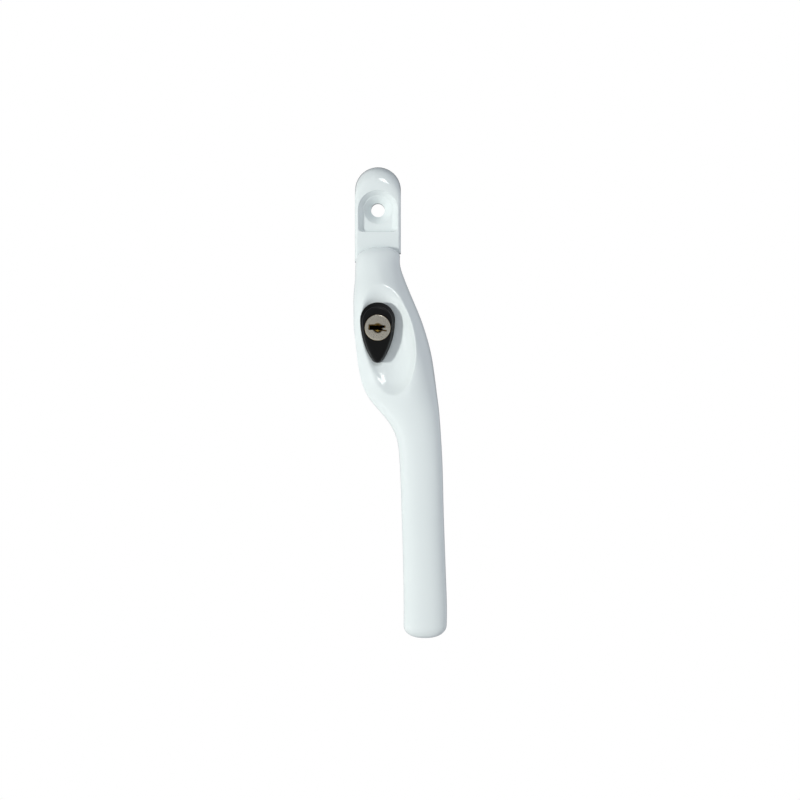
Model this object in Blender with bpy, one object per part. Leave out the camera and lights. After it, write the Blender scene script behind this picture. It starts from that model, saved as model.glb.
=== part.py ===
"""Keyed window lock: a cranked espagnolette handle with a key-released push-button lock.

World axes: +X right, +Z up, and the handle faces -Y. The origin is where the spindle's axis
meets the sash, so the plate's back lies on y = 0 and the spindle runs along +Y into the sash.
Lengths below are in millimetres, and MM turns them into metres as each mesh is made.
"""
import math

import bmesh
import bpy
import numpy as np
from mathutils import Matrix, Vector

MM = 0.001

# ---------------------------------------------------------------- driving dimensions (mm)
SCREW_PITCH = 43.0                     # between the two fixing screws, spindle midway
SCREW_Z = SCREW_PITCH / 2
SCREW_HOLE_R = 2.55                    # clears an M5 screw
COUNTERSINK_R = 5.1

PLATE_HALF_WIDTH = 8.5
PLATE_FRONT = -8.5
PLATE_TOP_CENTRE = 29.2                # centre of the head's round end
SHOULDER_RIGHT = 5.3                   # where the head narrows to the tongue under the lever
SHOULDER_LEFT = 2.2
TONGUE_HALF_WIDTH = 7.6
PLATE_WALL = 1.5
PLATE_SKIN = 2.2
HEAD_SLOPE = 7.6                       # how far the head's nose slopes back, and how deep
HEAD_SLOPE_DEPTH = 8.0
CORE_DROP = (0.6, 4.6)                 # the cored hollow follows that slope, rear and front
PLATE_EDGE = 1.2                       # rounding along the plate's front edges
POCKET_TOP_R = 7.1                     # mouth of the pocket round the upper screw
POCKET_FLOOR_R = 5.6
POCKET_BOTTOM = 13.4
POCKET_FLOOR = -6.7

SPINDLE = 7.0                          # square spindle
SPINDLE_END = 40.0
SPINDLE_FRONT = -12.3
BOSS_R = 5.8                           # the lever's pivot boss
BOSS_END = -0.6
BOSS_FLATS = 4.7                       # half the square that the index spring grips
BUSH_R = 6.5
FLANGE_R = 6.9
BEARING_END = -4.4                     # rear end of the plate's bearing tube
RING_RECESS_R = 6.95

LEVER_BACK = -8.9
LEVER_TOP = 7.65
LEVER_BOTTOM = -135.6
NECK_CAP = 4.0                         # length of the neck's rounded end, seen from the front
NECK_NOSE = 8.6                        # length of the same end, seen from the side
GRIP_CAP = 5.0

BUTTON_Z = -19.6                       # centre of the teardrop's round top
BUTTON_R = 6.25
BUTTON_SIDE_R = 27.0                   # radius of the teardrop's long sides
BUTTON_TIP_R = 2.35
BUTTON_FRONT = -25.25
BUTTON_TRAVEL = 3.2
FLANGE_GROW = 1.0                      # the button's hidden flange, outside its outline
CHAMBER_GROW = 1.3                     # the lever's chamber, outside the button's outline
SKIN_BACK = -18.0                      # rear of the lever's wall round the button
FLANGE_FRONT = -17.7
FLANGE_REAR = -16.8

KEY_Z = -22.6                          # axis of barrel and plug
BARREL_R = 5.6
PLUG_R = 3.8
PLUG_FACE_R = 4.69
PLUG_FRONT = -25.5
BARREL_FRONT = -24.1
BARREL_REAR = -15.9
CAM_FRONT = -14.3                      # of the bar on the plug's tail
CAM_REAR = -13.4
TAIL_END = -13.2
PIN_Z = -14.9
PIN_R = 1.2
SPRING_Z = -30.85
SPRING_R = 2.0
RETAINER_FRONT = -12.4
RETAINER_PLATE = -10.4                 # front of its flat plate
RETAINER_REAR = -9.2
RETAINER_SCREWS = ((9.9, -17.4), (11.0, -30.0))
RETAINER_LUG_R = 2.5

DISH_CENTRE = (3.9, -27.3)             # the bowl that the button stands in
DISH_LEFT = 11.6                       # its reach to each side of the centre, up and down
DISH_RIGHT = 10.3
DISH_ABOVE = 22.5
DISH_BELOW = 20.3
DISH_FLOOR = -20.6
DISH_DEPTH = 7.6
DISH_POWER = 2.5                       # 2 is an ellipsoid, more has a flatter floor
DISH_LEAN = 0.1                        # slope of the floor towards the left, and upwards
DISH_SLOPE = 0.06
DISH_TILT = math.radians(6.0)
DISH_BLEND = 0.7

WAFER_COUNT = 4
WAFER_PITCH = 1.6
WAFER_THICK = 0.6
FIRST_WAFER = -22.4

# The lever's cross-sections from top to bottom: height, centre, half width, depth of the widest
# line, depth of the crest, roundness of the right flank (2 is an ellipse, less is straighter),
# crest to the right of the centre, roundness of the left flank.
LEVER_SECTIONS = (
    (7.65, 1.25, 7.75, -9.8, -15.0, 2.0, 0.0, 2.0),
    (4.4, 0.2, 7.95, -10.2, -15.4, 1.9, 0.0, 1.9),
    (1.75, -0.2, 8.1, -10.8, -16.0, 1.85, 0.0, 1.85),
    (-4.1, 0.7, 9.0, -13.2, -19.3, 1.75, 0.4, 1.9),
    (-10.2, 1.6, 10.5, -16.0, -23.2, 1.65, 1.5, 2.0),
    (-16.2, 2.9, 11.75, -18.0, -25.4, 1.6, 3.5, 1.9),
    (-22.2, 4.05, 12.85, -18.9, -26.4, 1.6, 5.2, 1.65),
    (-28.2, 5.3, 13.4, -19.2, -26.9, 1.65, 5.8, 1.5),
    (-34.2, 6.3, 13.75, -19.4, -27.1, 1.8, 5.6, 1.35),
    (-40.1, 7.2, 13.7, -19.7, -27.2, 2.0, 5.0, 1.28),
    (-45.5, 8.35, 13.2, -20.8, -27.6, 2.0, 3.6, 1.35),
    (-50.0, 10.05, 12.1, -22.6, -28.4, 2.1, 2.0, 1.6),
    (-54.3, 12.3, 10.3, -24.7, -29.5, 2.2, 0.9, 1.85),
    (-60.1, 14.5, 8.5, -26.6, -30.9, 2.2, 0.2, 2.1),
    (-66.0, 15.5, 7.85, -27.6, -31.7, 2.2, 0.0, 2.2),
    (-74.6, 16.0, 7.75, -28.4, -32.3, 2.2, 0.0, 2.2),
    (-90.0, 16.45, 7.65, -29.0, -32.8, 2.2, 0.0, 2.2),
    (-109.0, 17.05, 7.7, -29.2, -33.0, 2.2, 0.0, 2.2),
    (-126.7, 17.45, 7.85, -29.2, -33.0, 2.2, 0.0, 2.2),
    (-135.6, 17.2, 7.8, -29.2, -32.6, 2.2, 0.0, 2.2),
)
CRANK_TOP = -37.0                      # where the back leaves the plate, and where it levels out
CRANK_BOTTOM = -58.0
GRIP_BACK = -22.0
FLAT_BACK_POWER = 16.0                 # the neck's back is nearly flat, the grip's is round
ROUND_BACK_POWER = 2.6

# ---------------------------------------------------------------- materials
FINISHES = {
    "white_coat": ((0.80, 0.84, 0.86), 0.28, 0.0),
    "black_button": ((0.012, 0.012, 0.013), 0.32, 0.0),
    "nickel": ((0.62, 0.61, 0.58), 0.30, 1.0),
    "brass": ((0.72, 0.53, 0.26), 0.34, 1.0),
    "zinc_plated": ((0.66, 0.67, 0.68), 0.38, 1.0),
    "spring_steel": ((0.42, 0.42, 0.43), 0.32, 1.0),
    "nylon": ((0.78, 0.77, 0.72), 0.55, 0.0),
    "die_cast": ((0.55, 0.56, 0.57), 0.48, 1.0),
}


def finish(slot):
    """One Principled material for each finish."""
    if slot in bpy.data.materials:
        return bpy.data.materials[slot]
    colour, roughness, metallic = FINISHES[slot]
    material = bpy.data.materials.new(slot)
    material.use_nodes = True
    shader = material.node_tree.nodes["Principled BSDF"]
    shader.inputs["Base Color"].default_value = (*colour, 1.0)
    shader.inputs["Roughness"].default_value = roughness
    shader.inputs["Metallic"].default_value = metallic
    return material


# ---------------------------------------------------------------- outlines, as (x, z) points
def arc(centre, radius, start, stop, steps):
    """Points along an arc, angles in degrees, counter-clockwise from +X."""
    cx, cz = centre
    angles = (math.radians(start + (stop - start) * k / steps) for k in range(steps + 1))
    return [(cx + radius * math.cos(a), cz + radius * math.sin(a)) for a in angles]


def rectangle(x0, x1, z0, z1):
    return [(x0, z0), (x1, z0), (x1, z1), (x0, z1)]


def teardrop(grow=0.0, steps=14):
    """The button's outline: a round top, two long curved sides and a small round tip."""
    reach = BUTTON_SIDE_R - BUTTON_R
    tip_z = BUTTON_Z - math.sqrt((BUTTON_SIDE_R - BUTTON_TIP_R) ** 2 - reach ** 2)
    lean = math.degrees(math.atan2(BUTTON_Z - tip_z, reach))
    side = BUTTON_SIDE_R + grow
    points = arc((0, BUTTON_Z), BUTTON_R + grow, 0, 180, steps)
    points += arc((reach, BUTTON_Z), side, 180, 180 + lean, steps // 2)[1:]
    points += arc((0, tip_z), BUTTON_TIP_R + grow, 180 + lean, 360 - lean, steps // 2)[1:]
    points += arc((-reach, BUTTON_Z), side, 360 - lean, 360, steps // 2)[1:-1]
    return points


def plate_outline(inset=0.0, drop=0.0, steps=18):
    """The plate seen from the front; drop lowers the centre of its round top."""
    head = PLATE_HALF_WIDTH - inset
    tongue = TONGUE_HALF_WIDTH - inset
    points = arc((0, PLATE_TOP_CENTRE - drop), head, 0, 180, steps)
    points += [(-head, SHOULDER_LEFT + inset), (-tongue, SHOULDER_LEFT + inset)]
    points += arc((0, -SCREW_Z), tongue, 180, 360, steps)
    points += [(tongue, SHOULDER_RIGHT + inset), (head, SHOULDER_RIGHT + inset)]
    return points


def pocket_outline(radius, steps=20):
    """The pocket round the upper screw: straight below, round above."""
    corner = 1.4
    points = arc((0, SCREW_Z), radius, 0, 180, steps)
    points += arc((-radius + corner, POCKET_BOTTOM + corner), corner, 180, 270, 4)
    points += arc((radius - corner, POCKET_BOTTOM + corner), corner, 270, 360, 4)
    return points


def hull(points):
    """The outline drawn tight round a set of points."""
    points = sorted(set(points))
    outline = []
    for run in (points, points[::-1]):
        chain = []
        for p in run:
            while len(chain) > 1 and cross(chain[-2], chain[-1], p) <= 0:
                chain.pop()
            chain.append(p)
        outline += chain[:-1]
    return outline


def cross(a, b, c):
    return (b[0] - a[0]) * (c[1] - a[1]) - (b[1] - a[1]) * (c[0] - a[0])


# ---------------------------------------------------------------- meshes
def new_object(name, bm, slot="die_cast", smooth=35.0):
    """Turn a bmesh in millimetres into an object in metres, faces out."""
    bmesh.ops.remove_doubles(bm, verts=bm.verts, dist=1e-5)
    bmesh.ops.recalc_face_normals(bm, faces=bm.faces)
    if bm.calc_volume(signed=True) < 0:
        bmesh.ops.reverse_faces(bm, faces=bm.faces)
    bmesh.ops.scale(bm, vec=(MM, MM, MM), verts=bm.verts)
    mesh = bpy.data.meshes.new(name)
    bm.to_mesh(mesh)
    bm.free()
    mesh.shade_smooth()
    mesh.set_sharp_from_angle(angle=math.radians(smooth))
    mesh.materials.append(finish(slot))
    obj = bpy.data.objects.new(name, mesh)
    bpy.context.scene.collection.objects.link(obj)
    return obj


def prism(outline, y0, y1):
    """An outline extruded along Y."""
    bm = bmesh.new()
    face = bm.faces.new([bm.verts.new((x, y0, z)) for x, z in outline])
    moved = bmesh.ops.extrude_face_region(bm, geom=[face])["geom"]
    verts = [v for v in moved if isinstance(v, bmesh.types.BMVert)]
    bmesh.ops.translate(bm, vec=(0, y1 - y0, 0), verts=verts)
    return bm


def layered(levels):
    """A solid through several outlines of equal length, each at its own depth."""
    bm = bmesh.new()
    loops = []
    for y, outline in levels:
        verts = [bm.verts.new((x, y, z)) for x, z in outline]
        loops.append([bm.edges.new((verts[k - 1], verts[k])) for k in range(len(verts))])
        if y in (levels[0][0], levels[-1][0]):
            bm.faces.new(verts)
    for lower, upper in zip(loops, loops[1:]):
        bmesh.ops.bridge_loops(bm, edges=lower + upper)
    return bm


def turned(profile, centre, steps=40):
    """A profile of (radius, y) points spun about the line along Y through centre."""
    bm = bmesh.new()
    cx, cz = centre
    verts = [bm.verts.new((cx + r, y, cz)) for r, y in profile]
    closed = all(r > 0 for r, _ in profile)
    pairs = list(zip(verts, verts[1:])) + ([(verts[-1], verts[0])] if closed else [])
    edges = [bm.edges.new(pair) for pair in pairs]
    bmesh.ops.spin(
        bm, geom=edges, cent=(cx, 0, cz), axis=(0, 1, 0), angle=math.tau, steps=steps,
        use_merge=True,
    )
    return bm


def cylinder(radius, y0, y1, centre, steps=40):
    return turned([(0, y0), (radius, y0), (radius, y1), (0, y1)], centre, steps)


def boolean(obj, bm, operation="DIFFERENCE"):
    """Cut a bmesh from an object, or weld it on, with a live modifier."""
    tool = new_object(f"{obj.name}_tool_{len(obj.modifiers)}", bm)
    tool.hide_render = True
    tool.display_type = "WIRE"
    modifier = obj.modifiers.new(operation.title(), "BOOLEAN")
    modifier.operation = operation
    modifier.solver = "EXACT"
    modifier.object = tool
    return obj


def coil(radius, wire, y0, y1, turns, centre, sides=6, per_turn=12):
    """A round-wire compression spring along Y, its ends capped flat."""
    bm = bmesh.new()
    cx, cz = centre
    count = round(turns * per_turn)
    low, high = y0 + wire, y1 - wire
    rings = []
    for k in range(count + 1):
        turn = math.tau * k / per_turn
        out = Vector((math.cos(turn), 0, math.sin(turn)))
        at = Vector((cx, low + (high - low) * k / count, cz)) + out * radius
        rings.append([
            bm.verts.new(at + wire * (out * math.cos(a) + Vector((0, math.sin(a), 0))))
            for a in (math.tau * s / sides for s in range(sides))
        ])
    for ring in (rings[0], rings[-1]):
        bm.faces.new(ring)
    for a, b in zip(rings, rings[1:]):
        for s in range(sides):
            bm.faces.new((a[s - 1], a[s], b[s], b[s - 1]))
    return bm


# ---------------------------------------------------------------- the lever's surface
def flow(z, column):
    """A column of LEVER_SECTIONS at height z, along a curve that never overshoots."""
    heights = np.array([-row[0] for row in LEVER_SECTIONS])
    values = np.array([row[column] for row in LEVER_SECTIONS], dtype=float)
    steps, rises = np.diff(heights), np.diff(values)
    slopes = rises / steps
    tangents = np.zeros(len(values))
    tangents[0], tangents[-1] = slopes[0], slopes[-1]
    for k in range(1, len(values) - 1):
        before, after = slopes[k - 1], slopes[k]
        if before * after > 0:
            tangents[k] = 2 * before * after / (before + after)
    k = int(np.clip(np.searchsorted(heights, -z) - 1, 0, len(steps) - 1))
    t = min(max((-z - heights[k]) / steps[k], 0.0), 1.0)
    start, rise, step = values[k], rises[k], steps[k]
    bend = (t * (1 - t) ** 2 * tangents[k] - t * t * (1 - t) * tangents[k + 1]) * step
    return start + rise * t * t * (3 - 2 * t) + bend


def rounded_end(distance, length, power=2.0):
    """How wide a rounded end is at a distance from its tip, as a share of the full width."""
    t = min(max(distance / length, 0.0), 1.0)
    return (1 - (1 - t) ** power) ** (1 / power)


def smooth_step(t):
    t = min(max(t, 0.0), 1.0)
    return t * t * t * (10 - 15 * t + 6 * t * t)


def dish_depth(x, z):
    """Depth of the bowl's surface at a point seen from the front, or None outside it."""
    dx, dz = x - DISH_CENTRE[0], z - DISH_CENTRE[1]
    across = dx * math.cos(DISH_TILT) + dz * math.sin(DISH_TILT)
    along = dz * math.cos(DISH_TILT) - dx * math.sin(DISH_TILT)
    side, end = (DISH_LEFT, DISH_RIGHT)[across > 0], (DISH_BELOW, DISH_ABOVE)[along > 0]
    out = math.hypot(across / side, along / end)
    if out >= 1:
        return None
    rise = 1 - (1 - out ** DISH_POWER) ** (1 / DISH_POWER)
    return DISH_FLOOR - DISH_LEAN * dx + DISH_SLOPE * dz - DISH_DEPTH * rise


def smooth_max(a, b, width):
    """The larger of two depths, eased over the crease between them."""
    h = max(width - abs(a - b), 0.0) / width
    return max(a, b) + h * h * width / 4


def dish_blend(z):
    """Width of the eased crease at the dish's rim: soft at its top and bottom."""
    return DISH_BLEND + 2.2 * smooth_step((z + 17) / 9) + 0.8 * smooth_step((-37 - z) / 8)


def lever_ring(z, angles):
    """A ring of the lever's skin: angle 0 is its right side, 90 its back, 270 its front."""
    centre, half, widest, front, right_power, crest, left_power = (
        flow(z, column) for column in range(1, 8)
    )
    crank = smooth_step((CRANK_TOP - z) / (CRANK_TOP - CRANK_BOTTOM))
    back = LEVER_BACK + (GRIP_BACK - LEVER_BACK) * crank
    top, bottom = LEVER_TOP - z, z - LEVER_BOTTOM
    cap = rounded_end(top, NECK_CAP, 2.1) * rounded_end(bottom, GRIP_CAP, 2.3)
    half, crest = half * cap, crest * cap
    nose = rounded_end(top, NECK_NOSE) * rounded_end(bottom, GRIP_CAP, 2.3)
    heel = rounded_end(top, 1.5) * rounded_end(bottom, 3.0)
    turning = smooth_step((CRANK_TOP + 4 - z) / 22)
    rear_power = FLAT_BACK_POWER + (ROUND_BACK_POWER - FLAT_BACK_POWER) * turning
    ring = []
    for angle in angles:
        c, s = math.cos(angle), math.sin(angle)
        if s > 0:
            x = centre + half * math.copysign(abs(c) ** (2 / rear_power), c)
            ring.append((x, widest + (back - widest) * heel * s ** (2 / rear_power), z))
            continue
        power, reach = (left_power, half + crest) if c < 0 else (right_power, half - crest)
        x = centre + crest + reach * math.copysign(abs(c) ** (2 / power), c)
        y = widest + (front - widest) * nose * (-s) ** (2 / power)
        bowl = dish_depth(x, z)
        if bowl is not None and s < 0:
            y = smooth_max(y, bowl, dish_blend(z))
        ring.append((x, y, z))
    return ring


def lever_heights():
    """Heights of the lever's rings: close at both ends and round the dish."""
    neck = [LEVER_TOP - NECK_CAP * (k / 7) ** 2 for k in range(1, 8)]
    crank = list(np.linspace(neck[-1], -62.0, 38)[1:])
    grip = list(np.linspace(-62.0, LEVER_BOTTOM + GRIP_CAP, 11)[1:])
    tip = [LEVER_BOTTOM + GRIP_CAP * (k / 7) ** 2 for k in range(6, 0, -1)]
    return neck + crank + grip + tip


def lever_skin(around=48):
    """A sphere's rings drawn out along the lever's sections."""
    heights = lever_heights()
    bands = len(heights) + 1
    bm = bmesh.new()
    bmesh.ops.create_uvsphere(bm, u_segments=around, v_segments=bands, radius=1.0)
    rings = {}
    for vert in bm.verts:
        number = round(math.acos(max(-1.0, min(1.0, vert.co.z))) / math.pi * bands)
        rings.setdefault(number, []).append(vert)
    for number, verts in rings.items():
        z = LEVER_TOP if number == 0 else LEVER_BOTTOM if number == bands else heights[number - 1]
        angles = [math.atan2(vert.co.y, vert.co.x) for vert in verts]
        for vert, place in zip(verts, lever_ring(z, angles)):
            vert.co = place
    return bm


# ---------------------------------------------------------------- the base
def base_plate():
    """Die-cast plate: cored from behind, with two screw bosses and the spindle's bearing."""
    levels = [(0.0, plate_outline())]
    for k in range(8):
        y = PLATE_FRONT + HEAD_SLOPE_DEPTH * (1 - k / 7) ** 1.5
        nose = (PLATE_FRONT + HEAD_SLOPE_DEPTH - y) / HEAD_SLOPE_DEPTH
        edge = max(0.0, (PLATE_FRONT + PLATE_EDGE - y) / PLATE_EDGE)
        drop = HEAD_SLOPE * (1 - math.sqrt(1 - nose * nose))
        inset = PLATE_EDGE * (1 - math.sqrt(max(0.0, 1 - edge * edge)))
        levels.append((y, plate_outline(inset, drop)))
    plate = new_object("base_plate", layered(levels), "white_coat")

    skin = PLATE_FRONT + PLATE_SKIN
    rear_drop, front_drop = CORE_DROP
    core = [(1.0, plate_outline(PLATE_WALL, rear_drop)), (skin, plate_outline(PLATE_WALL, front_drop))]
    boolean(plate, layered(core))
    head = POCKET_FLOOR + 1.6
    boolean(plate, prism(rectangle(-7.2, 7.2, 12.0, 30.0), skin - 0.2, head), "UNION")
    for z, radius in ((SCREW_Z, 4.7), (-SCREW_Z, 5.4)):
        boolean(plate, cylinder(radius, skin - 0.2, 0.0, (0, z), 40), "UNION")
    boolean(plate, prism(rectangle(-6.6, 6.6, -7.6, 7.6), skin - 0.2, BEARING_END), "UNION")
    boolean(plate, prism(rectangle(-6.6, 6.6, -8.8, -7.7), skin - 0.2, 0.0), "UNION")
    boolean(plate, prism(rectangle(-6.6, 6.6, 9.4, 10.6), skin - 0.2, 0.0), "UNION")

    mouth = [(POCKET_FLOOR, pocket_outline(POCKET_FLOOR_R))]
    over = POCKET_TOP_R - POCKET_FLOOR_R
    mouth.append((PLATE_FRONT, pocket_outline(POCKET_TOP_R)))
    mouth.append((PLATE_FRONT - 1.0, pocket_outline(POCKET_TOP_R + over / 2)))
    boolean(plate, layered(mouth))
    for z, seat in ((SCREW_Z, POCKET_FLOOR), (-SCREW_Z, PLATE_FRONT)):
        sink = COUNTERSINK_R - SCREW_HOLE_R
        profile = [(0, seat - 0.4), (COUNTERSINK_R + 0.4, seat - 0.4), (SCREW_HOLE_R, seat + sink)]
        profile += [(SCREW_HOLE_R, 1.0), (0, 1.0)]
        boolean(plate, turned(profile, (0, z), 40))
    bore = [(0, PLATE_FRONT - 1), (FLANGE_R + 0.1, PLATE_FRONT - 1), (FLANGE_R + 0.1, -8.1)]
    bore += [(BUSH_R + 0.05, -8.1), (BUSH_R + 0.05, BEARING_END), (RING_RECESS_R, BEARING_END)]
    bore += [(RING_RECESS_R, 1.0), (0, 1.0)]
    boolean(plate, turned(bore, (0, 0), 48))
    boolean(plate, cylinder(PIN_R + 0.15, PLATE_FRONT - 1, -3.0, (0, PIN_Z), 20))
    return plate


def pivot_bush():
    """Flanged nylon bush that the lever's boss turns in."""
    inner = BOSS_R + 0.08
    profile = [(inner, -8.75), (FLANGE_R, -8.75), (FLANGE_R, -8.2), (BUSH_R, -8.2)]
    profile += [(BUSH_R, BEARING_END + 0.1), (inner, BEARING_END + 0.1)]
    return new_object("pivot_bush", turned(profile, (0, 0), 48), "nylon")


def thrust_washer():
    profile = [(5.95, -4.1), (6.7, -4.1), (6.7, -3.6), (5.95, -3.6)]
    return new_object("thrust_washer", turned(profile, (0, 0), 48), "zinc_plated")


def wave_washer(steps=60):
    """Thin spring washer with three waves, which takes up the lever's end play."""
    bm = turned([(5.95, -0.11), (6.7, -0.11), (6.7, 0.11), (5.95, 0.11)], (0, 0), steps)
    for vert in bm.verts:
        vert.co.y += -3.22 + 0.12 * math.cos(3 * math.atan2(vert.co.z, vert.co.x))
    return new_object("wave_washer", bm, "spring_steel")


def index_spring():
    """U-shaped wire that grips the flats of the boss and gives the lever its two stops."""
    wire, gap, leg, bend = 0.5, BOSS_FLATS + 0.52, 6.0, 2.2
    low = bend - 6.35
    path = [(gap, leg)] + arc((gap - bend, low), bend, 0, -90, 5)
    path += arc((bend - gap, low), bend, -90, -180, 5) + [(-gap, leg)]
    curve = bpy.data.curves.new("index_spring", "CURVE")
    curve.dimensions = "3D"
    spline = curve.splines.new("POLY")
    spline.points.add(len(path) - 1)
    for point, (x, z) in zip(spline.points, path):
        point.co = (x * MM, -1.5 * MM, z * MM, 1.0)
    curve.bevel_depth = wire * MM
    curve.bevel_resolution = 2
    curve.use_fill_caps = True
    curve.materials.append(finish("spring_steel"))
    obj = bpy.data.objects.new("index_spring", curve)
    bpy.context.scene.collection.objects.link(obj)
    return obj


# ---------------------------------------------------------------- the lever and what it carries
def lever():
    """Die-cast lever: neck, cranked dish and grip, with the boss and the lock's chamber."""
    body = new_object("lever", lever_skin(), "white_coat", smooth=50.0)
    boss = [(0, -10.0), (BOSS_R, -10.0), (BOSS_R, -2.85), (BOSS_R - 0.3, -2.85)]
    boss += [(BOSS_R - 0.3, -2.15), (BOSS_R, -2.15), (BOSS_R, BOSS_END), (0, BOSS_END)]
    boolean(body, turned(boss, (0, 0), 48), "UNION")
    flats = [prism(rectangle(side * BOSS_FLATS, side * 8, -8, 8), -2.0, 0.5) for side in (-1, 1)]
    flats += [prism(rectangle(-8, 8, side * BOSS_FLATS, side * 8), -2.0, 0.5) for side in (-1, 1)]
    for cutter in flats:
        boolean(body, cutter)
    half = SPINDLE / 2 + 0.1
    boolean(body, prism(rectangle(-half, half, -half, half), SPINDLE_FRONT - 0.3, 1.0))
    boolean(body, prism(teardrop(0.15), -40.0, SKIN_BACK + 0.5))
    boolean(body, prism(teardrop(CHAMBER_GROW), SKIN_BACK, RETAINER_PLATE))
    boolean(body, prism(retainer_outline(0.3), RETAINER_PLATE - 0.2, 0.0))
    for centre in RETAINER_SCREWS:
        boolean(body, cylinder(1.35, -16.6, RETAINER_REAR, centre, 16))
    return body


def retainer_outline(grow=0.0):
    """The chamber's outline widened to take in the two screws."""
    points = teardrop(CHAMBER_GROW - 0.25 + grow)
    for centre in RETAINER_SCREWS:
        points += arc(centre, RETAINER_LUG_R + grow, 0, 360, 20)
    return hull(points)


def retainer():
    """Plate screwed into the back of the lever: it holds the button and catches the cam."""
    disc = prism(retainer_outline(), RETAINER_PLATE, RETAINER_REAR)
    plate = new_object("retainer", disc, "die_cast")
    boolean(plate, prism(teardrop(CHAMBER_GROW - 0.3), RETAINER_FRONT, RETAINER_PLATE + 0.4), "UNION")
    boolean(plate, cylinder(5.2, RETAINER_FRONT + 1.0, 0.0, (0, KEY_Z), 32))
    slot = rectangle(-1.9, 1.9, KEY_Z - 4.9, KEY_Z + 4.9)
    boolean(plate, prism(slot, RETAINER_FRONT - 1, RETAINER_FRONT + 2))
    boolean(plate, cylinder(PIN_R + 0.12, RETAINER_FRONT - 1, 0.0, (0, PIN_Z), 20))
    for centre in RETAINER_SCREWS:
        profile = [(0, -11.5), (1.35, -11.5), (1.35, -10.2), (2.3, -9.3), (2.3, -8.5), (0, -8.5)]
        boolean(plate, turned(profile, centre, 20))
    return plate


def retainer_screw(number, centre):
    """Countersunk M2.5 screw with a cross recess."""
    profile = [(0, -15.6), (0.9, -15.6), (1.2, -15.2), (1.2, -10.2), (2.1, -9.35), (0, -9.35)]
    screw = new_object(f"retainer_screw_{number}", turned(profile, centre, 20), "zinc_plated")
    x, z = centre
    for w, h in ((1.2, 0.25), (0.25, 1.2)):
        boolean(screw, prism(rectangle(x - w, x + w, z - h, z + h), -10.1, -8.5))
    return screw


def retaining_ring():
    """Open ring in the boss's groove, behind the washers."""
    gap = 14.0
    inner, outer = BOSS_R - 0.2, RING_RECESS_R - 0.15
    outline = arc((0, 0), outer, 90 + gap, 450 - gap, 44) + arc((0, 0), inner, 450 - gap, 90 + gap, 44)
    return new_object("retaining_ring", prism(outline, -2.8, -2.2), "spring_steel")


def spindle():
    """Square spindle with chamfered edges, which turns the gear in the sash."""
    half, cut = SPINDLE / 2, 0.5
    outline = [(half, -half + cut), (half, half - cut), (half - cut, half), (-half + cut, half)]
    outline += [(-half, half - cut), (-half, -half + cut), (-half + cut, -half), (half - cut, -half)]
    small = [(x * 0.84, z * 0.84) for x, z in outline]
    levels = [(SPINDLE_FRONT, outline), (SPINDLE_END - 1.0, outline), (SPINDLE_END, small)]
    return new_object("spindle", layered(levels), "zinc_plated", smooth=20.0)


# ---------------------------------------------------------------- the push-button lock
def lock_button():
    """Black teardrop button: a hidden flange stops it, and the barrel is pressed into it."""
    edge = [(BUTTON_FRONT + 1.0, 0.0), (BUTTON_FRONT + 0.35, -0.25), (BUTTON_FRONT, -0.9)]
    seat = PLUG_FACE_R + 0.12
    levels = [(FLANGE_REAR, teardrop(FLANGE_GROW)), (FLANGE_FRONT, teardrop(FLANGE_GROW))]
    levels += [(FLANGE_FRONT - 0.02, teardrop(0.0))]
    levels += [(y, teardrop(grow)) for y, grow in edge]
    button = new_object("lock_button", layered(levels), "black_button")
    bore = [(0, PLUG_FRONT - 1), (seat, PLUG_FRONT - 1), (seat, BARREL_FRONT - 0.1)]
    bore += [(BARREL_R + 0.08, BARREL_FRONT - 0.1), (BARREL_R + 0.08, 0), (0, 0)]
    boolean(button, turned(bore, (0, KEY_Z), 48))
    boolean(button, cylinder(SPRING_R + 0.35, -22.0, 0.0, (0, SPRING_Z), 24))
    boolean(button, cylinder(PIN_R + 0.05, -19.6, 0.0, (0, PIN_Z), 20))
    return button


def lock_barrel():
    """Fixed shell of the key cylinder, with a groove every quarter turn for the wafers."""
    bore = PLUG_R + 0.1
    profile = [(bore, BARREL_FRONT), (BARREL_R, BARREL_FRONT), (BARREL_R, BARREL_REAR)]
    profile += [(bore, BARREL_REAR)]
    barrel = new_object("lock_barrel", turned(profile, (0, KEY_Z), 48), "brass")
    first = FIRST_WAFER - 0.6
    last = FIRST_WAFER + WAFER_PITCH * (WAFER_COUNT - 1) + WAFER_THICK + 0.4
    return boolean(barrel, prism(cross_outline(4.8, 1.7), first, last))


def cross_outline(reach, half):
    """A plus sign round the key's axis."""
    corners = [(half, half), (half, reach), (-half, reach), (-half, half), (-reach, half)]
    corners += [(-reach, -half), (-half, -half), (-half, -reach), (half, -reach), (half, -half)]
    corners += [(reach, -half), (reach, half)]
    return [(x, KEY_Z + z) for x, z in corners]


def keyway_outline():
    """The key slot: a flat bar with one step at its lower right."""
    left, right, top, low, step, ward = -3.2, 3.3, 1.15, -0.55, 0.9, -1.35
    points = [(left, low), (step, low), (step, ward), (right, ward), (right, low + 0.3)]
    points += [(right - 0.4, top), (left, top)]
    return [(x, KEY_Z + z) for x, z in points]


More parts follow.
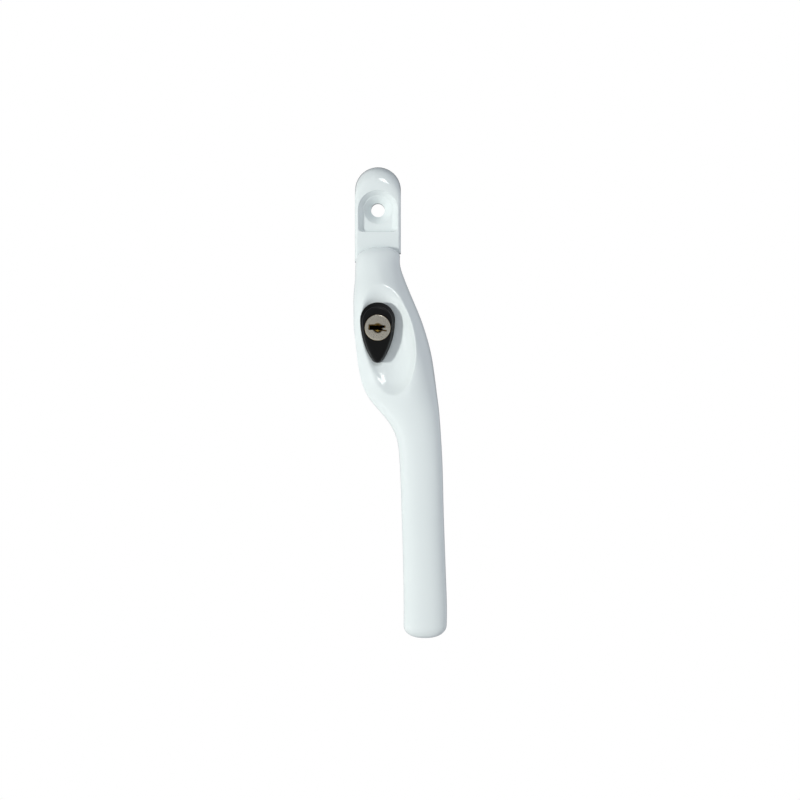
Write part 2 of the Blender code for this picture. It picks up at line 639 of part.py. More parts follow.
def key_plug():
    """The turning plug: a face, a body with wafer slots, and a squared tail for the cam."""
    profile = [(0, PLUG_FRONT), (PLUG_FACE_R - 0.2, PLUG_FRONT), (PLUG_FACE_R, PLUG_FRONT + 0.2)]
    profile += [(PLUG_FACE_R, BARREL_FRONT - 0.2), (PLUG_R, BARREL_FRONT - 0.2)]
    profile += [(PLUG_R, BARREL_REAR + 0.2), (1.0, BARREL_REAR + 0.2), (1.0, TAIL_END), (0, TAIL_END)]
    plug = new_object("key_plug", turned(profile, (0, KEY_Z), 48), "nickel")
    boolean(plug, prism(keyway_outline(), PLUG_FRONT - 1, -17.0))
    recess = [(0, PLUG_FRONT - 1), (1.55, PLUG_FRONT - 1), (1.55, PLUG_FRONT + 0.7), (0, PLUG_FRONT + 0.7)]
    boolean(plug, turned(recess, (0, KEY_Z + 0.3), 24))
    for k in range(WAFER_COUNT):
        y = FIRST_WAFER + WAFER_PITCH * k
        slot = rectangle(-5, 5, KEY_Z - 1.45, KEY_Z + 1.45)
        boolean(plug, prism(slot, y - 0.12, y + WAFER_THICK + 0.12))
    return plug


def wafer(number):
    """Spring wafer: a thin brass plate with a window for the key."""
    y = FIRST_WAFER + WAFER_PITCH * (number - 1)
    outline = rectangle(-3.35, 3.35, KEY_Z - 1.3, KEY_Z + 1.3)
    plate = new_object(f"wafer_{number}", prism(outline, y, y + WAFER_THICK), "brass")
    shift = 0.35 * (number % 2)
    window = rectangle(-3.0, 2.45 + shift, KEY_Z - 0.95, KEY_Z + 0.95)
    return boolean(plate, prism(window, y - 1, y + 2))


def lock_cam():
    """Bar on the plug's tail: it passes the retainer's slot, then turns behind it."""
    ends = arc((0, KEY_Z + 2.9), 1.7, 0, 180, 8) + arc((0, KEY_Z - 2.9), 1.7, 180, 360, 8)
    cam = new_object("lock_cam", prism(ends, CAM_FRONT, CAM_REAR), "zinc_plated")
    return boolean(cam, cylinder(1.08, -16, -12, (0, KEY_Z), 20))


def lock_pin():
    """Steel pin that enters the plate when the button is pushed home."""
    profile = [(0, -19.4), (PIN_R, -19.4), (PIN_R, -9.6), (PIN_R - 0.4, -9.2), (0, -9.2)]
    return new_object("lock_pin", turned(profile, (0, PIN_Z), 20), "zinc_plated")


def button_spring():
    wire = 0.25
    bm = coil(SPRING_R - wire, wire, -21.9, RETAINER_FRONT - 0.1, 6, (0, SPRING_Z))
    return new_object("button_spring", bm, "spring_steel")


# ---------------------------------------------------------------- assembly
def empty(name, at, parent=None):
    """An empty on a joint's axis; everything that moves about it hangs from it."""
    holder = bpy.data.objects.new(name, None)
    holder.empty_display_size = 5 * MM
    bpy.context.scene.collection.objects.link(holder)
    bpy.context.view_layer.update()
    holder.parent = parent
    holder.matrix_world = Matrix.Translation(Vector(at) * MM)
    bpy.context.view_layer.update()
    return holder


def hang(holder, *objects):
    """Parent objects to a holder without moving them."""
    for obj in objects:
        obj.parent = holder
        obj.matrix_parent_inverse = holder.matrix_world.inverted()


def build():
    for obj in list(bpy.data.objects):
        bpy.data.objects.remove(obj, do_unlink=True)

    base = empty("base_origin", (0, 0, 0))
    hang(base, base_plate(), pivot_bush(), thrust_washer(), wave_washer(), index_spring())

    lever_pivot = empty("lever_pivot", (0, LEVER_BACK, 0), base)
    hang(lever_pivot, lever(), spindle(), retaining_ring(), retainer(), button_spring())
    for number, centre in enumerate(RETAINER_SCREWS, start=1):
        hang(lever_pivot, retainer_screw(number, centre))

    button_slide = empty("button_slide", (0, BUTTON_FRONT, KEY_Z), lever_pivot)
    hang(button_slide, lock_button(), lock_barrel(), lock_pin())
    plug_pivot = empty("plug_pivot", (0, PLUG_FRONT, KEY_Z), button_slide)
    hang(plug_pivot, key_plug(), lock_cam())
    for number in range(1, WAFER_COUNT + 1):
        hang(plug_pivot, wafer(number))


build()
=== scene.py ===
# %% [markdown]
# # A keyed window lock
# A cranked window handle turns on a slim plate that is screwed to the sash. A black teardrop
# button in a dish of the lever locks it, and a key lets the button spring out again. The packed
# frame already holds every working piece at its real size. This lesson gives the visible ones
# their fine surfaces, and every piece its finish.

# %% Load the frame
import math

import bmesh
import bpy
import numpy as np
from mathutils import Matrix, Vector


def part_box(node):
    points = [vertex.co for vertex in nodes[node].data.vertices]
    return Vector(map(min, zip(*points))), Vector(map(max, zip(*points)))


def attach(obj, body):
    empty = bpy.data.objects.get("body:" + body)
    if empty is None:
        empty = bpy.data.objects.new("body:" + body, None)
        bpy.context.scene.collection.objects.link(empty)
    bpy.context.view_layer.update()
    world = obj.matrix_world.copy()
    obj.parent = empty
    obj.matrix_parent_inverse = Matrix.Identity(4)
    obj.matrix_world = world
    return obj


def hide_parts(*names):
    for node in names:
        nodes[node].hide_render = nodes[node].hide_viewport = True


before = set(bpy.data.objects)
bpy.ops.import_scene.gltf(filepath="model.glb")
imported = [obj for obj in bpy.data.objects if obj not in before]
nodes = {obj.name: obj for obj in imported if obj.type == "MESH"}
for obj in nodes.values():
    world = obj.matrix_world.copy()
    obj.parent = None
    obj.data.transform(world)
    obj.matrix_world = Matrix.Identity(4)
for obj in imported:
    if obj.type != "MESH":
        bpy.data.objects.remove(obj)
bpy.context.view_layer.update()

# %% [markdown]
# The frame is in metres, but a lock is easier to think of in millimetres. So every length below
# is in millimetres, and each mesh is scaled once, as it becomes an object. The sizes that the
# frame can give are read from it: the plate's front, the key's axis and the lever's ends.

# %% Sizes read from the frame
MM = 0.001


def span(node):
    """Lowest and highest corner of a CAD piece, in millimetres."""
    low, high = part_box(node)
    return [v / MM for v in low], [v / MM for v in high]


plate_low, plate_high = span("base_plate")
lever_low, lever_high = span("lever")
button_low, button_high = span("lock_button")
plug_low, plug_high = span("key_plug")
PLATE_HALF = plate_high[0]
PLATE_FRONT = plate_low[1]
LEVER_TOP, LEVER_BOTTOM = lever_high[2], lever_low[2]
BUTTON_FRONT, BUTTON_REAR = button_low[1], button_high[1]
PLUG_FRONT, PLUG_FACE_R = plug_low[1], plug_high[0]
KEY_Z = (plug_low[2] + plug_high[2]) / 2
pin_low, pin_high = span("lock_pin")
PIN_R, PIN_Z = pin_high[0], (pin_low[2] + pin_high[2]) / 2
print(f"plate {2 * PLATE_HALF:.1f} wide, lever {LEVER_TOP - LEVER_BOTTOM:.1f} long, key at {KEY_Z:.2f}")

# %% [markdown]
# Most pieces here are outlines seen from the front, pushed back into depth. An outline is a list
# of points across and up, and its round stretches are arcs. Two builders turn outlines into
# solids. One extrudes a face again and again and reshapes it each time, which gives the rounded
# edges of a casting. The other spins a profile, as a lathe would.

# %% Arcs and solids
def arc(centre, radius, start, stop, steps):
    """Points along an arc, angles in degrees from the right, counter-clockwise."""
    angles = np.radians(np.linspace(start, stop, steps + 1))
    return [(centre[0] + radius * math.cos(a), centre[1] + radius * math.sin(a)) for a in angles]


def box_outline(x0, x1, z0, z1):
    return [(x0, z0), (x1, z0), (x1, z1), (x0, z1)]


def stacked(levels):
    """A solid through outlines of equal length, each (depth, outline), made by extruding."""
    bm = bmesh.new()
    depth, outline = levels[0]
    ring = [bm.verts.new((x, depth, z)) for x, z in outline]
    face = back = bm.faces.new(ring)
    for depth, outline in levels[1:]:
        place = {vert: k for k, vert in enumerate(ring)}
        below, geometry = face, bmesh.ops.extrude_face_region(bm, geom=[face])["geom"]
        face = next(g for g in geometry if isinstance(g, bmesh.types.BMFace))
        if below != back:
            bmesh.ops.delete(bm, geom=[below], context="FACES_ONLY")
        fresh = [None] * len(ring)
        for vert in face.verts:
            old = next(e.other_vert(vert) for e in vert.link_edges if e.other_vert(vert) in place)
            k = place[old]
            fresh[k] = vert
            vert.co = (outline[k][0], depth, outline[k][1])
        ring = fresh
    return bm


def turned(profile, centre, steps=128):
    """A profile of (radius, depth) points spun about the line that runs back through centre."""
    bm = bmesh.new()
    cx, cz = centre
    verts = [bm.verts.new((cx + r, y, cz)) for r, y in profile]
    pairs = list(zip(verts, verts[1:]))
    if min(r for r, _ in profile) > 0:
        pairs.append((verts[-1], verts[0]))
    edges = [bm.edges.new(pair) for pair in pairs]
    bmesh.ops.spin(
        bm, geom=edges, cent=(cx, 0, cz), axis=(0, 1, 0), angle=math.tau, steps=steps,
        use_merge=True,
    )
    return bm


def piece(name, bm, smooth=30.0):
    """Close a bmesh, point its faces out and make it an object in metres."""
    bmesh.ops.remove_doubles(bm, verts=bm.verts, dist=1e-5)
    bmesh.ops.recalc_face_normals(bm, faces=bm.faces)
    if bm.calc_volume(signed=True) < 0:
        bmesh.ops.reverse_faces(bm, faces=bm.faces)
    bmesh.ops.scale(bm, vec=(MM, MM, MM), verts=bm.verts)
    mesh = bpy.data.meshes.new(name)
    bm.to_mesh(mesh)
    bm.free()
    mesh.shade_smooth()
    mesh.set_sharp_from_angle(angle=math.radians(smooth))
    obj = bpy.data.objects.new(name, mesh)
    bpy.context.scene.collection.objects.link(obj)
    return obj


def carve(obj, cutters, operation="DIFFERENCE", smooth=30.0):
    """Cut each bmesh from a piece, or weld it on, and keep only the finished mesh."""
    tools = []
    for bm in cutters:
        tool = piece(f"{obj.name}_tool", bm)
        modifier = obj.modifiers.new("carve", "BOOLEAN")
        modifier.operation = operation
        modifier.solver = "EXACT"
        modifier.object = tool
        tools.append(tool)
    bpy.context.view_layer.update()
    finished = obj.evaluated_get(bpy.context.evaluated_depsgraph_get())
    mesh = bpy.data.meshes.new_from_object(finished)
    obj.modifiers.clear()
    obj.data = mesh
    bm = bmesh.new()
    bm.from_mesh(mesh)
    bmesh.ops.remove_doubles(bm, verts=bm.verts, dist=2e-7)
    bmesh.ops.dissolve_degenerate(bm, edges=bm.edges, dist=2e-7)
    bm.to_mesh(mesh)
    bm.free()
    mesh.shade_smooth()
    mesh.set_sharp_from_angle(angle=math.radians(smooth))
    for tool in tools:
        bpy.data.objects.remove(tool, do_unlink=True)
    return obj


def report(obj):
    size = [round(v / MM, 1) for v in obj.dimensions]
    print(f"{obj.name}: {size} mm, {sum(len(p.vertices) - 2 for p in obj.data.polygons)} triangles")


# %% [markdown]
# ## The plate
# The real plate is one zinc casting: a round-nosed head with a pocket for the screw, and a
# narrower tongue that the lever hides. Its sides are rounded, its nose slopes back to the sash,
# and the pocket's walls flare so that the casting leaves its mould. Extruding the outline in
# many thin layers, each a little smaller, gives all of these roundings at once.

# %% The plate's outlines
HEAD_CENTRE = 29.2                     # centre of the head's round end
SHOULDER_LEFT, SHOULDER_RIGHT = 2.2, 5.3    # where the head narrows to the tongue
TONGUE_HALF = 7.6
SCREW_Z = 21.5
SIDE_ROUND = 1.2
NOSE_SLOPE, NOSE_DEPTH = 7.6, 8.0


def plate_outline(inset, drop=0.0, steps=96):
    head, tongue = PLATE_HALF - inset, TONGUE_HALF - inset
    points = arc((0, HEAD_CENTRE - drop), head, 0, 180, steps)
    points += [(-head, SHOULDER_LEFT + inset), (-tongue, SHOULDER_LEFT + inset)]
    points += arc((0, -SCREW_Z), tongue, 180, 360, steps)
    points += [(tongue, SHOULDER_RIGHT + inset), (head, SHOULDER_RIGHT + inset)]
    return points


def pocket_outline(radius, floor_z=13.4, corner=1.4, steps=72):
    points = arc((0, SCREW_Z), radius, 0, 180, steps)
    points += arc((-radius + corner, floor_z + corner), corner, 180, 270, 12)
    points += arc((radius - corner, floor_z + corner), corner, 270, 360, 12)
    return points


def plate_levels(count=26):
    """The back flat, then layers that round the sides and slope the nose."""
    levels = [(0.0, plate_outline(0.3)), (-0.3, plate_outline(0.0))]
    for k in range(count + 1):
        turn = math.pi / 2 * k / count
        nose = math.sin(turn)
        y = PLATE_FRONT + NOSE_DEPTH * (1 - nose)
        edge = max(0.0, (PLATE_FRONT + SIDE_ROUND - y) / SIDE_ROUND)
        inset = SIDE_ROUND * (1 - math.sqrt(max(0.0, 1 - edge * edge)))
        levels.append((y, plate_outline(inset, NOSE_SLOPE * (1 - math.cos(turn)))))
    return levels


print("plate layers:", len(plate_levels()))

# %% Cast the plate
HOLE_R, SINK_R = 2.55, 5.1
POCKET_FLOOR = -6.7
RIM = 0.35                             # rounding of the pocket's rim
plate = piece("plate_casting", stacked(plate_levels()), smooth=40)

core = stacked([(1.0, plate_outline(1.4, 0.6)), (PLATE_FRONT + 2.2, plate_outline(1.6, 4.6))])
carve(plate, [core])
bosses = [
    stacked([(-6.5, box_outline(-7.2, 7.2, 12.0, 30.0)), (-5.1, box_outline(-7.2, 7.2, 12.0, 30.0))]),
    turned([(0, -6.5), (4.7, -6.5), (4.7, 0.0), (0, 0.0)], (0, SCREW_Z)),
    turned([(0, -6.5), (5.4, -6.5), (5.4, 0.0), (0, 0.0)], (0, -SCREW_Z)),
    stacked([(-6.5, box_outline(-6.6, 6.6, -7.6, 7.6)), (-4.4, box_outline(-6.6, 6.6, -7.6, 7.6))]),
    stacked([(-6.5, box_outline(-6.6, 6.6, -8.8, -7.7)), (0.0, box_outline(-6.6, 6.6, -8.8, -7.7))]),
    stacked([(-6.5, box_outline(-6.6, 6.6, 9.4, 10.6)), (0.0, box_outline(-6.6, 6.6, 9.4, 10.6))]),
]
carve(plate, bosses, "UNION")


def pocket_cutter(floor_r=5.55, mouth_r=7.1, steps=8):
    """A flared pocket whose wall curves out into the plate's front."""
    levels = [(POCKET_FLOOR, pocket_outline(floor_r - 0.25)), (POCKET_FLOOR - 0.08, pocket_outline(floor_r - 0.06))]
    levels.append((POCKET_FLOOR - 0.3, pocket_outline(floor_r + 0.08)))
    top = PLATE_FRONT + RIM
    for k in range(steps + 1):
        turn = math.pi / 2 * k / steps
        grow = mouth_r + RIM * (1 - math.cos(turn))
        levels.append((top - RIM * math.sin(turn), pocket_outline(grow, 13.4 - RIM * (1 - math.cos(turn)))))
    levels.append((PLATE_FRONT - 1.0, pocket_outline(mouth_r + RIM + 0.4, 13.0 - RIM)))
    return stacked(levels)


def screw_cutter(centre, seat):
    sink = SINK_R - HOLE_R
    profile = [(0, seat - 1.0), (SINK_R + 0.35, seat - 1.0), (SINK_R + 0.35, seat - 0.02), (SINK_R + 0.1, seat + 0.04)]
    profile += [(SINK_R - 0.05, seat + 0.14), (HOLE_R + 0.12, seat + sink - 0.1), (HOLE_R, seat + sink + 0.1)]
    return turned(profile + [(HOLE_R, 1.0), (0, 1.0)], centre)


bore = [(0, PLATE_FRONT - 1), (7.0, PLATE_FRONT - 1), (7.0, -8.1), (6.55, -8.1), (6.55, -4.4)]
bore += [(6.95, -4.4), (6.95, 1.0), (0, 1.0)]
holes = [pocket_cutter(), screw_cutter((0, SCREW_Z), POCKET_FLOOR), screw_cutter((0, -SCREW_Z), PLATE_FRONT)]
holes += [turned(bore, (0, 0)), turned([(0, -9.5), (1.35, -9.5), (1.35, -3.0), (0, -3.0)], (0, PIN_Z), 48)]
carve(plate, holes)
report(plate)

# %% [markdown]
# ## The lever
# The lever is the piece that the hand meets: a flat-backed neck, a dish for the button, a crank
# that steps the grip away from the sash, and a long leaning grip. Such a body is a loft. Each
# row below is one cross-section, and smooth curves through the rows give every section between.
# A sphere already has rings from pole to pole and closes itself, so its rings are simply drawn
# out along the sections.

# %% The lever's cross-sections
# height, centre, half width, depth of the widest line, depth of the crest, roundness of the right
# flank (2 is an ellipse, less is straighter), crest to the right of the centre, left roundness
LEVER_SECTIONS = (
    (7.65, 1.25, 7.75, -9.8, -15.0, 2.0, 0.0, 2.0),
    (4.4, 0.2, 7.95, -10.2, -15.4, 1.9, 0.0, 1.9),
    (1.75, -0.2, 8.1, -10.8, -16.0, 1.85, 0.0, 1.85),
    (-4.1, 0.7, 9.0, -13.2, -19.3, 1.75, 0.4, 1.9),
    (-10.2, 1.6, 10.5, -16.0, -23.2, 1.65, 1.5, 2.0),
    (-16.2, 2.9, 11.75, -18.0, -25.4, 1.6, 3.5, 1.9),
    (-22.2, 4.05, 12.85, -18.9, -26.4, 1.6, 5.2, 1.65),
    (-28.2, 5.3, 13.4, -19.2, -26.9, 1.65, 5.8, 1.5),
    (-34.2, 6.3, 13.75, -19.4, -27.1, 1.8, 5.6, 1.35),
    (-40.1, 7.2, 13.7, -19.7, -27.2, 2.0, 5.0, 1.28),
    (-45.5, 8.35, 13.2, -20.8, -27.6, 2.0, 3.6, 1.35),
    (-50.0, 10.05, 12.1, -22.6, -28.4, 2.1, 2.0, 1.6),
    (-54.3, 12.3, 10.3, -24.7, -29.5, 2.2, 0.9, 1.85),
    (-60.1, 14.5, 8.5, -26.6, -30.9, 2.2, 0.2, 2.1),
    (-66.0, 15.5, 7.85, -27.6, -31.7, 2.2, 0.0, 2.2),
    (-74.6, 16.0, 7.75, -28.4, -32.3, 2.2, 0.0, 2.2),
    (-90.0, 16.45, 7.65, -29.0, -32.8, 2.2, 0.0, 2.2),
    (-109.0, 17.05, 7.7, -29.2, -33.0, 2.2, 0.0, 2.2),
    (-126.7, 17.45, 7.85, -29.2, -33.0, 2.2, 0.0, 2.2),
    (-135.6, 17.2, 7.8, -29.2, -32.6, 2.2, 0.0, 2.2),
)
LEVER_BACK, GRIP_BACK = -8.9, -22.0
CRANK_TOP, CRANK_BOTTOM = -37.0, -58.0
NECK_CAP, NECK_NOSE, GRIP_CAP = 4.0, 8.6, 5.0


def gentle_curve(z, column):
    """A curve through one column of the sections that never overshoots them."""
    heights = np.array([-row[0] for row in LEVER_SECTIONS])
    values = np.array([row[column] for row in LEVER_SECTIONS])
    slopes = np.diff(values) / np.diff(heights)
    before, after = slopes[:-1], slopes[1:]
    meet = np.where(before * after > 0, before * after, 0.0)
    inner = 2 * meet / np.where(meet > 0, before + after, 1.0)
    tangents = np.concatenate([slopes[:1], inner, slopes[-1:]])
    k = np.clip(np.searchsorted(heights, -z) - 1, 0, len(slopes) - 1)
    step = np.diff(heights)[k]
    t = np.clip((-z - heights[k]) / step, 0, 1)
    bend = (t * (1 - t) ** 2 * tangents[k] - t * t * (1 - t) * tangents[k + 1]) * step
    return values[k] + np.diff(values)[k] * t * t * (3 - 2 * t) + bend


FINE_Z = np.arange(LEVER_TOP + 6, LEVER_BOTTOM - 6, -0.25)


def eased(column, reach=2.0):
    """The same curve with its last kinks rubbed out, so that reflections flow over it."""
    weights = np.exp(-0.5 * (np.arange(-24, 25) * 0.25 / reach) ** 2)
    raw = gentle_curve(np.clip(FINE_Z, LEVER_BOTTOM, LEVER_TOP), column)
    padded = np.concatenate([np.full(24, raw[0]), raw, np.full(24, raw[-1])])
    return np.convolve(padded, weights / weights.sum(), "valid")


COLUMNS = [eased(column) for column in range(1, 8)]
print("lever sections:", len(LEVER_SECTIONS), "rows, drawn at", len(FINE_Z), "heights")

# %% [markdown]
# The dish is a bowl sunk into the crank, an ellipsoid that leans a little with the lever. The
# skin takes the deeper of its own surface and the bowl's. A small blend where the two meet gives
# the crisp but not sharp rim that a polished casting keeps under its coat.

# %% The dish and the lever's skin
DISH_CENTRE = (3.9, -27.3)
DISH_LEFT, DISH_RIGHT = 11.6, 10.3      # how far it reaches to each side of its centre
DISH_ABOVE, DISH_BELOW = 22.5, 20.3
DISH_DEPTH, DISH_FLOOR, DISH_POWER = 7.6, -20.6, 2.5
DISH_LEAN, DISH_SLOPE = 0.1, 0.06       # the floor faces a little to the left, and a little up
DISH_TILT = math.radians(6.0)
DISH_BLEND = 0.7


def rounded_end(distance, length, power=2.0):
    t = min(max(distance / length, 0.0), 1.0)
    return (1 - (1 - t) ** power) ** (1 / power)


def smooth_step(t):
    t = min(max(t, 0.0), 1.0)
    return t * t * t * (10 - 15 * t + 6 * t * t)


def bowl_depth(x, z):
    """Depth of the bowl at a point seen from the front; far outside it there is none."""
    dx, dz = x - DISH_CENTRE[0], z - DISH_CENTRE[1]
    across = dx * math.cos(DISH_TILT) + dz * math.sin(DISH_TILT)
    along = dz * math.cos(DISH_TILT) - dx * math.sin(DISH_TILT)
    side, end = (DISH_LEFT, DISH_RIGHT)[across > 0], (DISH_BELOW, DISH_ABOVE)[along > 0]
    out = math.hypot(across / side, along / end)
    if out >= 1:
        return -1000.0
    rise = 1 - (1 - out ** DISH_POWER) ** (1 / DISH_POWER)
    return DISH_FLOOR - DISH_LEAN * dx + DISH_SLOPE * dz - DISH_DEPTH * rise


def smooth_max(a, b, width):
    h = max(width - abs(a - b), 0.0) / width
    return max(a, b) + h * h * width / 4


def lever_ring(z, angles):
    """One ring of the skin: angle 0 is the right side, a quarter turn the back."""
    here = [float(np.interp(-z, -FINE_Z, column)) for column in COLUMNS]
    centre, half, widest, front, right_power, crest, left_power = here
    crank = smooth_step((CRANK_TOP - z) / (CRANK_TOP - CRANK_BOTTOM))
    back = LEVER_BACK + (GRIP_BACK - LEVER_BACK) * crank
    top, bottom = LEVER_TOP - z, z - LEVER_BOTTOM
    cap = rounded_end(top, NECK_CAP, 2.1) * rounded_end(bottom, GRIP_CAP, 2.3)
    half, crest = half * cap, crest * cap
    nose = rounded_end(top, NECK_NOSE) * rounded_end(bottom, GRIP_CAP, 2.3)
    heel = rounded_end(top, 1.5) * rounded_end(bottom, 3.0)
    rear_power = 16.0 - 13.4 * smooth_step((CRANK_TOP + 4 - z) / 22)
    blend = DISH_BLEND + 2.2 * smooth_step((z + 17) / 9) + 0.8 * smooth_step((-37 - z) / 8)
    points = []
    for angle in angles:
        c, s = math.cos(angle), math.sin(angle)
        if s > 0:
            x = centre + half * math.copysign(abs(c) ** (2 / rear_power), c)
            points.append((x, widest + (back - widest) * heel * s ** (2 / rear_power), z))
            continue
        power, reach = (left_power, half + crest) if c < 0 else (right_power, half - crest)
        x = centre + crest + reach * math.copysign(abs(c) ** (2 / power), c)
        skin = widest + (front - widest) * nose * (-s) ** (2 / power)
        points.append((x, smooth_max(skin, bowl_depth(x, z), blend) if s < 0 else skin, z))
    return points


# %% Draw the sphere out into the lever
AROUND = 232


def lever_heights():
    """Ring heights: close together round the dish and at both ends."""
    neck = [LEVER_TOP - NECK_CAP * (k / 16) ** 2 for k in range(1, 17)]
    dish = list(np.linspace(neck[-1], -62.0, 156)[1:])
    grip = list(np.linspace(-62.0, LEVER_BOTTOM + GRIP_CAP, 62)[1:])
    tip = [LEVER_BOTTOM + GRIP_CAP * (k / 18) ** 2 for k in range(17, 0, -1)]
    return neck + dish + grip + tip


def lever_skin():
    heights = lever_heights()
    bands = len(heights) + 1
    bm = bmesh.new()
    bmesh.ops.create_uvsphere(bm, u_segments=AROUND, v_segments=bands, radius=1.0)
    rings = {}
    for vert in bm.verts:
        ring = round(math.acos(max(-1.0, min(1.0, vert.co.z))) / math.pi * bands)
        rings.setdefault(ring, []).append(vert)
    for ring, verts in rings.items():
        z = LEVER_TOP if ring == 0 else LEVER_BOTTOM if ring == bands else heights[ring - 1]
        angles = [math.atan2(vert.co.y, vert.co.x) for vert in verts]
        for vert, place in zip(verts, lever_ring(z, angles)):
            vert.co = place
    return bm


lever = piece("lever_casting", lever_skin(), smooth=60)
report(lever)

# %% [markdown]
# The button's outline is a teardrop: a round top, two long curved sides and a small round tip,
# each arc tangent to the next. The same outline, grown a little, cuts the button's hole.

# %% The teardrop
DROP_Z, DROP_R, DROP_SIDE_R, DROP_TIP_R = -19.6, 6.25, 27.0, 2.35


def teardrop(grow=0.0, steps=64, lower=0.0):
    reach = DROP_SIDE_R - DROP_R
    tip_z = DROP_Z - math.sqrt((DROP_SIDE_R - DROP_TIP_R) ** 2 - reach ** 2)
    lean = math.degrees(math.atan2(DROP_Z - tip_z, reach))
    side = DROP_SIDE_R + grow
    points = arc((0, DROP_Z), DROP_R + grow, 0, 180, steps)
    points += arc((reach, DROP_Z), side, 180, 180 + lean, steps // 2)[1:]
    points += arc((0, tip_z), DROP_TIP_R + grow, 180 + lean, 360 - lean, steps // 2)[1:]
    points += arc((-reach, DROP_Z), side, 360 - lean, 360, steps // 2)[1:-1]
    return [(x, z - lower) for x, z in points]


drop_heights = [z for _, z in teardrop()]
print(f"teardrop: {len(drop_heights)} points, {max(drop_heights) - min(drop_heights):.1f} mm tall")

# %% [markdown]
# Behind, the lever is hollow where the lock sits. The chamber opens backwards into a shallow
# recess with two lugs, where the retainer is screwed in. That recess is the outline drawn tight
# round the chamber and the lugs. The convex hull operator finds it from a cloud of vertices.

# %% Bore the lever
BOSS_R, BOSS_END = 5.8, lever_high[1]
GROOVE_DEPTH, GROOVE = 0.3, (-2.85, -2.15)
SPINDLE_HALF = span("spindle")[1][0]
SPINDLE_FRONT = span("spindle")[0][1]
BUTTON_GAP, CHAMBER_GAP = 0.15, 1.3
CHAMBER_FRONT, RECESS_FRONT, RETAINER_REAR = -18.0, -10.6, span("retainer")[1][1]
LUGS, LUG_R = ((9.9, -17.4), (11.0, -30.0)), 2.5


def hull_solid(points, y0, y1):
    bm = bmesh.new()
    for depth in (y0, y1):
        for x, z in points:
            bm.verts.new((x, depth, z))
    bmesh.ops.convex_hull(bm, input=bm.verts)
    return bm


boss = [(0, -10.0), (BOSS_R, -10.0), (BOSS_R, GROOVE[0]), (BOSS_R - GROOVE_DEPTH, GROOVE[0])]
boss += [(BOSS_R - GROOVE_DEPTH, GROOVE[1]), (BOSS_R, GROOVE[1]), (BOSS_R, BOSS_END + 0.0)]
carve(lever, [turned(boss + [(0, BOSS_END)], (0, 0))], "UNION", smooth=35)

FLAT = 4.7                             # half the square at the boss's end
flats = [box_outline(FLAT, 8, -8, 8), box_outline(-8, -FLAT, -8, 8)]
flats += [box_outline(-8, 8, FLAT, 8), box_outline(-8, 8, -8, -FLAT)]
cutters = [stacked([(-2.0, outline), (0.5, outline)]) for outline in flats]
half = SPINDLE_HALF + 0.1
socket = box_outline(-half, half, -half, half)
cutters.append(stacked([(SPINDLE_FRONT - 0.3, socket), (1.0, socket)]))
hole = [(-40.0, BUTTON_GAP), (CHAMBER_FRONT + 0.5, BUTTON_GAP)]
cutters.append(stacked([(y, teardrop(grow)) for y, grow in hole]))
cutters.append(stacked([(y, teardrop(CHAMBER_GAP)) for y in (CHAMBER_FRONT, RECESS_FRONT + 0.2)]))
recess = teardrop(CHAMBER_GAP + 0.05)
for lug in LUGS:
    recess += arc(lug, LUG_R + 0.3, 0, 360, 64)[:-1]
cutters.append(hull_solid(recess, RECESS_FRONT, 0.0))
tapped = [(0, -16.6), (1.0, -16.6), (1.35, -16.2), (1.35, RETAINER_REAR), (0, RETAINER_REAR)]
cutters += [turned(tapped, lug, 40) for lug in LUGS]
carve(lever, cutters, smooth=35)
report(lever)

# %% [markdown]
# ## The push button
# The button is moulded in black acetal. Its face is a smaller teardrop that sits low in the
# outline, so the edge between them is a broad bevel over the top and fades away at the tip. That
# edge is rounded where the mould was, and it catches a thin grey line of light.

# %% Mould the button
FLANGE_OUT, FLANGE_FRONT, FLANGE_REAR = 1.0, -17.7, BUTTON_REAR
FACE_IN, FACE_LOW, FACE_ROUND = 0.7, 0.75, 0.85
BEVEL_DEPTH, BEVEL_STEPS = 1.0, 14
BARREL_R = span("lock_barrel")[1][0]
BARREL_FRONT = span("lock_barrel")[0][1]
SPRING_R = span("button_spring")[1][0]
SPRING_Z = (span("button_spring")[0][2] + span("button_spring")[1][2]) / 2


def button_levels():
    levels = [(FLANGE_REAR, teardrop(FLANGE_OUT - 0.15)), (FLANGE_REAR - 0.15, teardrop(FLANGE_OUT))]
    levels += [(FLANGE_FRONT, teardrop(FLANGE_OUT)), (FLANGE_FRONT - 0.02, teardrop(0.0))]
    for k in range(BEVEL_STEPS + 1):
        t = k / BEVEL_STEPS
        y = BUTTON_FRONT + FACE_ROUND + BEVEL_DEPTH * (1 - t)
        share = t ** 1.1
        levels.append((y, teardrop(-FACE_IN * share, lower=FACE_LOW * share)))
    for k in range(1, 6):
        turn = math.pi / 2 * k / 5
        grow = FACE_IN + FACE_ROUND * (1 - math.cos(turn))
        levels.append((BUTTON_FRONT + FACE_ROUND * (1 - math.sin(turn)), teardrop(-grow, lower=FACE_LOW)))
    return levels


button = piece("push_button", stacked(button_levels()), smooth=38)
seat = PLUG_FACE_R + 0.12
bore = [(0, PLUG_FRONT - 1), (seat + 0.3, PLUG_FRONT - 1), (seat + 0.3, BUTTON_FRONT - 0.05)]
bore += [(seat, BUTTON_FRONT + 0.22), (seat, BARREL_FRONT - 0.1), (BARREL_R + 0.08, BARREL_FRONT - 0.1)]
sockets = [turned(bore + [(BARREL_R + 0.08, 0), (0, 0)], (0, KEY_Z), 160)]
for radius, front, height in ((SPRING_R + 0.35, -22.0, SPRING_Z), (PIN_R + 0.05, -19.6, PIN_Z)):
    sockets.append(turned([(0, front), (radius, front), (radius, 0), (0, 0)], (0, height), 48))
carve(button, sockets, smooth=38)
report(button)

